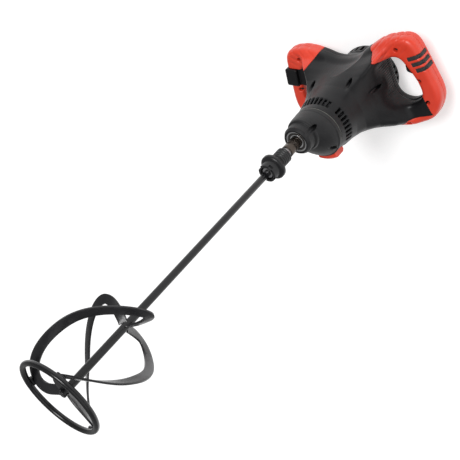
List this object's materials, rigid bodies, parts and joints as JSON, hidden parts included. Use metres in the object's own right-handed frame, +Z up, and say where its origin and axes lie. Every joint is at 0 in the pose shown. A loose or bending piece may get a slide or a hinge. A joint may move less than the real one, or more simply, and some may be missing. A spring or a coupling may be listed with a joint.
{
  "type": "electric paint mixer",
  "caption": "Two-handed electric paint and mortar mixer: motor body with wing grips, offset gearbox and a long shaft with a ringed helical paddle, standing on its motor cap.",
  "frame": {"origin": "where the spindle axis meets the flat end of the motor cap, on which the tool stands", "axes": "+Z up the spindle axis to the paddle, +X to the grip with the trigger, +Y to the side where the gap between body and grips is narrower and the arms meet the body highest"},
  "size_m": [0.3345, 0.197, 0.9095],
  "materials": {
    "lamination": "varnished sheet stack",
    "copper": "enamelled copper wire, stated as brass",
    "bright_steel": "ground",
    "zinc_screw": "blackened",
    "bronze": "sintered bronze",
    "inner_plastic": "moulded",
    "red_plastic": "satin moulded red",
    "seal_rubber": "nitrile",
    "carbon": "pressed carbon, stated as plastic",
    "gear_steel": "hardened",
    "chuck_plastic": "satin black sleeve",
    "black_plastic": "fine-grained black glass-filled nylon",
    "gasket": "fibre gasket sheet",
    "gearbox_paint": "textured black coat on cast aluminium",
    "cast_aluminium": "as cast",
    "blade_paint": "satin black enamel over flat bar",
    "paddle_paint": "glossy black enamel over steel",
    "grip_rubber": "soft matt inlay",
    "spindle_steel": "oiled dark steel"
  },
  "bodies": {
    "machine": {"bearing_circlip": "bright_steel", "body_screws": "zinc_screw", "brush_holders": "bronze", "brush_plate": "inner_plastic", "bumper_foot": "red_plastic", "cable_bush": "seal_rubber", "cap_screws": "zinc_screw", "carbon_brushes": "carbon", "electronics_module": "inner_plastic", "fan_baffle": "inner_plastic", "front_housing": "black_plastic", "gearbox_gasket": "gasket", "gearbox_housing": "gearbox_paint", "gearbox_plate": "cast_aluminium", "gearbox_screws": "zinc_screw", "handle_screws": "zinc_screw", "layshaft_bushes": "bronze", "left_lower_grip_front": "red_plastic", "left_lower_grip_rear": "red_plastic", "left_upper_grip_front": "red_plastic", "left_upper_grip_rear": "red_plastic", "motor_cap": "black_plastic", "rear_housing": "black_plastic", "right_grip_front": "red_plastic", "right_grip_rear": "red_plastic", "right_grip_stripes": "grip_rubber", "rotor_bearing_outer_rings": "bright_steel", "speed_block": "black_plastic", "spindle_bearing_balls": "bright_steel", "spindle_bearing_outer": "bright_steel", "spindle_bush": "bronze", "spindle_seal": "seal_rubber", "stator_coils": "copper", "stator_core": "lamination", "switch_module": "inner_plastic"},
    "spindle_group": {"spindle": "spindle_steel", "output_gear": "gear_steel", "output_gear_key": "gear_steel", "spindle_bearing_inner": "bright_steel", "chuck_body": "gear_steel", "chuck_balls": "bright_steel", "chuck_spring": "bright_steel", "paddle_shaft": "paddle_paint", "paddle_ring": "paddle_paint", "paddle_blade_1": "blade_paint", "paddle_blade_2": "blade_paint", "paddle_blade_3": "blade_paint"},
    "sleeve": {"chuck_sleeve": "chuck_plastic"},
    "lay_group": {"layshaft": "gear_steel", "layshaft_gear": "gear_steel"},
    "rotor": {"rotor_shaft": "gear_steel", "armature_core": "lamination", "armature_windings": "copper", "commutator": "copper", "cooling_fan": "inner_plastic", "rotor_bearing_inner_rings": "bright_steel"},
    "trigger_body": {"trigger": "black_plastic"},
    "dial": {"speed_dial": "chuck_plastic"}
  },
  "joints": [
    {"name": "spindle_spin", "type": "hinge", "parent": "machine", "child": "spindle_group", "pos_m": [0, 0, 0.3], "axis": [0, 0, 1], "continuous": true},
    {"name": "layshaft_spin", "type": "hinge", "parent": "machine", "child": "lay_group", "pos_m": [-0.02398, -0.01558, 0.23], "axis": [0, 0, 1], "continuous": true},
    {"name": "rotor_spin", "type": "hinge", "parent": "machine", "child": "rotor", "pos_m": [0, -0.0195, 0.12], "axis": [0, 0, 1], "continuous": true},
    {"name": "sleeve_slide", "type": "slide", "parent": "spindle_group", "child": "sleeve", "axis": [0, 0, -1], "range_m": [0, 0.006], "stiffness_N_per_m": 1500, "springref_m": -0.003, "deforming": ["chuck_spring"]},
    {"name": "trigger_slide", "type": "slide", "parent": "machine", "child": "trigger_body", "axis": [0.91, 0.4147, 0], "range_m": [0, 0.005], "stiffness_N_per_m": 800, "springref_m": -0.003},
    {"name": "dial_turn", "type": "hinge", "parent": "machine", "child": "dial", "pos_m": [-0.139, 0.02, 0.03], "axis": [0, 0, -1], "range_deg": [0, 270]}
  ],
  "couplings": [
    {"joint": "layshaft_spin", "follows": "spindle_spin", "ratio": -3.7273},
    {"joint": "rotor_spin", "follows": "spindle_spin", "ratio": 18.636}
  ]
}
